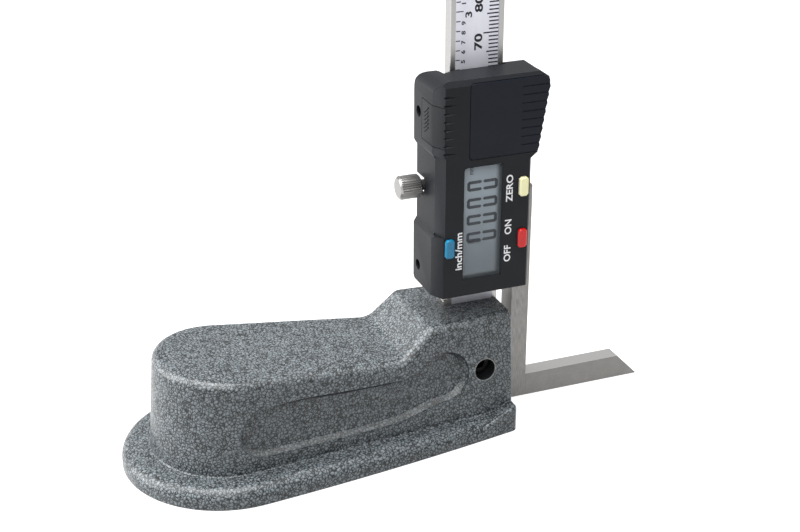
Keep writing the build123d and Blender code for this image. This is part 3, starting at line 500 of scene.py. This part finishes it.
def scalePrint():
    low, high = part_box("scale_strip")
    layer = 0.015 * mm
    face, depth = low.y, low.y - layer / 2
    inch, tenth, ten, five = 25.4 * mm, 2.54 * mm, 10 * mm, 5 * mm
    marks = {"zero": 39.6 * mm, "last": 205, "width": 0.36 * mm, "inchWidth": 0.26 * mm, "left": low.x + 0.1 * mm,
             "right": high.x - 0.04 * mm, "one": 2.65 * mm, "five": 3.25 * mm, "ten": 4.15 * mm,
             "tenth": 1.2 * mm, "inch": 2.0 * mm}
    # size, distance of the last stroke from the strip's left edge, stretch along the line and boldness
    figures = {"ten": (2.95 * mm, 7.35 * mm, 1.5, 0.09 * mm), "inch": (2.5 * mm, 4.4 * mm, 1.5, 0.06 * mm),
               "tenth": (1.5 * mm, 2.7 * mm, 1.3, 0.05 * mm)}
    left, right, zero, last = marks["left"], marks["right"], marks["zero"], marks["last"]
    tenths = int(last * mm / tenth)

    def row(x0, x1, start, width, step, count):
        mark = block((x0, face - layer, start - width / 2), (x1, face, start + width / 2))
        return repeat(mark, (0, 0, step), count)

    def figure(text, kind, z):
        size, end, stretch, bold = figures[kind]
        return word(text, size, (low.x + end, depth, z), stretch, bold, "RIGHT", layer)

    near, width, inchWidth = right - marks["one"], marks["width"], marks["inchWidth"]
    pieces = [row(near, right, zero, width, mm, last + 1),
              row(right - marks["five"], near, zero + five, width, ten, (last - 5) // 10 + 1),
              row(right - marks["ten"], near, zero, width, ten, last // 10 + 1),
              row(left, left + marks["tenth"], zero, inchWidth, tenth, tenths + 1),
              row(left + marks["tenth"], left + marks["inch"], zero, inchWidth, inch, tenths // 10 + 1)]
    for value in range(10, last + 1, 10):
        pieces.append(figure(str(value), "ten", zero + value * mm))
    digits = {}
    for step in range(1, tenths + 1):
        whole, rest = divmod(step, 10)
        at = zero + step * tenth
        if not rest:
            pieces.append(figure(str(whole), "inch", at))
            continue
        if rest not in digits:
            digits[rest] = figure(str(rest), "tenth", 0)
        pieces.append(copyTo(digits[rest], (0, 0, at)))
    for spare in digits.values():
        bpy.data.objects.remove(spare)
    finishPiece(join(pieces), "scale_print", "scale_strip", scaleInk)


def legends():
    # x and z of the first letter, size and stretch along the line, in millimetres
    words = {"ZERO": (6.0, 66.75, 2.6, 1.14), "ON": (5.92, 57.4, 2.65, 1.04), "OFF": (5.88, 49.5, 2.65, 1.04),
             "inch/mm": (-8.15, 49.3, 2.65, 1.18)}
    lift, bold = 0.01 * mm, 0.05 * mm
    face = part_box("front_housing")[0].y
    pieces = []
    for text, (x, z, size, stretch) in words.items():
        pieces.append(word(text, size * mm, (x * mm, face - lift, z * mm), stretch, bold))
    finishPiece(join(pieces), "housing_legends", "front_housing", whiteInk)


def segments():
    # four figures that stand on their side, each a ring of six strokes, and the unit's sign
    figure = {"x0": -6.35, "x1": 2.35, "starts": (56.15, 61.05, 65.75, 70.6), "tall": 2.85, "stroke": 0.84,
              "gap": 0.2, "corner": 0.42, "thick": 0.02}
    sign = {"text": "mm", "size": 1.9, "x": -4.7, "z": 75.2, "lift": 0.01, "stretch": 0.72, "bold": 0.03}
    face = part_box("lcd_panel")[0].y
    x0, x1, width, gap = figure["x0"], figure["x1"], figure["stroke"], figure["gap"]
    middle = (x0 + x1) / 2
    pieces = []

    def stroke(ax, bx, az, bz):
        piece = block((ax * mm, face - figure["thick"] * mm, az * mm), (bx * mm, face, bz * mm))
        points = piece.data.vertices

        def throughThickness(edge):
            first, second = (points[index].co.y for index in edge.vertices)
            return abs(first - second) > 0.5 * figure["thick"] * mm

        chooseEdges(piece, throughThickness)
        bpy.ops.mesh.bevel(offset=width * figure["corner"] * mm, segments=1)
        bpy.ops.object.mode_set(mode="OBJECT")
        pieces.append(piece)

    for start in figure["starts"]:
        end = start + figure["tall"]
        for az, bz in ((start, start + width), (end - width, end)):
            stroke(x0 + gap, middle - gap, az, bz)
            stroke(middle + gap, x1 - gap, az, bz)
        for ax in (x0, x1 - width):
            stroke(ax, ax + width, start + gap, end - gap)
    spot = (sign["x"] * mm, face - sign["lift"] * mm, sign["z"] * mm)
    pieces.append(word(sign["text"], sign["size"] * mm, spot, sign["stretch"], sign["bold"] * mm))
    finishPiece(join(pieces), "display_segments", "lcd_panel", segmentInk)


scalePrint()
print("scale printed")
legends()
segments()
print("legends and display figures made")


def paleStage():
    # what the camera sees stays nearly white, what lights the gauge is dimmer
    stage = {"size": 8.0, "drop": 0.2 * mm, "sheen": 0.4, "glow": 0.86, "floorMirrored": 0.6,
             "mirrored": 0.62, "ambient": 0.3}
    bpy.ops.mesh.primitive_plane_add(size=stage["size"], location=(0, 0, -stage["drop"]))
    floor = bpy.context.object
    floor.name = "floor"
    f = Finish("paleFloor", Base_Color=(stage["sheen"],) * 3 + (1,), Roughness=0.9, Specular_IOR_Level=0.0)
    f.set(Emission_Color=(1, 1, 1, 1), Emission_Strength=whiteFor(f.tree, stage["floorMirrored"]) * stage["glow"])
    coat(floor, f.material)
    world = bpy.data.worlds.new("studio")
    bpy.context.scene.world = world
    world.use_nodes = True
    tree = world.node_tree
    back = tree.nodes["Background"]
    back.inputs["Color"].default_value = (1, 1, 1, 1)
    plug(tree, maths(tree, "MAXIMUM", whiteFor(tree, stage["mirrored"]), stage["ambient"]), back.inputs["Strength"])


def whiteFor(tree, mirrored):  # 1 where the camera looks, also through the window, and less in reflections
    kinds = ("Is Camera Ray", "Is Transmission Ray", "Is Glossy Ray")
    looks, glass, gloss = (addNode(tree, "LightPath", outlet=kind) for kind in kinds)
    return maths(tree, "MAXIMUM", maths(tree, "MAXIMUM", looks, glass), gloss * mirrored)


def lamp(name, spot, aim, size, power):
    data = bpy.data.lights.new(name, "AREA")
    data.shape = "RECTANGLE"
    data.size, data.size_y = size
    data.energy = power
    obj = bpy.data.objects.new(name, data)
    bpy.context.scene.collection.objects.link(obj)
    obj.location = spot
    obj.rotation_euler = (Vector(aim) - Vector(spot)).to_track_quat("-Z", "Y").to_euler()


def studio():
    gauge, palm = (-0.02, 0, 0.05), (-0.07, 0, 0.02)
    lamps = {"keyTop": ((-0.13, 0.02, 0.8), gauge, (0.5, 0.5), 7.9),
             "glint": ((-0.58, 0.14, 0.5), palm, (0.42, 0.36), 3.4),
             "leftLow": ((-0.7, 0.28, 0.18), gauge, (0.5, 0.3), 3.7),
             "frontHigh": ((-0.3, -0.55, 0.75), gauge, (0.5, 0.5), 3.4)}
    for name, settings in lamps.items():
        lamp(name, *settings)


def camera():
    view = {"spot": (-0.15906, -0.35135, 0.22185), "heading": 21.52, "down": 24.84, "lens": 69.75, "sensor": 36,
            "near": 0.01}
    data = bpy.data.cameras.new("mainCamera")
    data.lens = view["lens"]
    data.sensor_width = view["sensor"]
    data.clip_start = view["near"]
    obj = bpy.data.objects.new("mainCamera", data)
    bpy.context.scene.collection.objects.link(obj)
    obj.location = view["spot"]
    obj.rotation_euler = (math.radians(90 - view["down"]), 0, math.radians(-view["heading"]))
    bpy.context.scene.camera = obj


paleStage()
studio()
camera()
bpy.context.scene.view_settings.view_transform = "Standard"
print("stage, light and camera set")
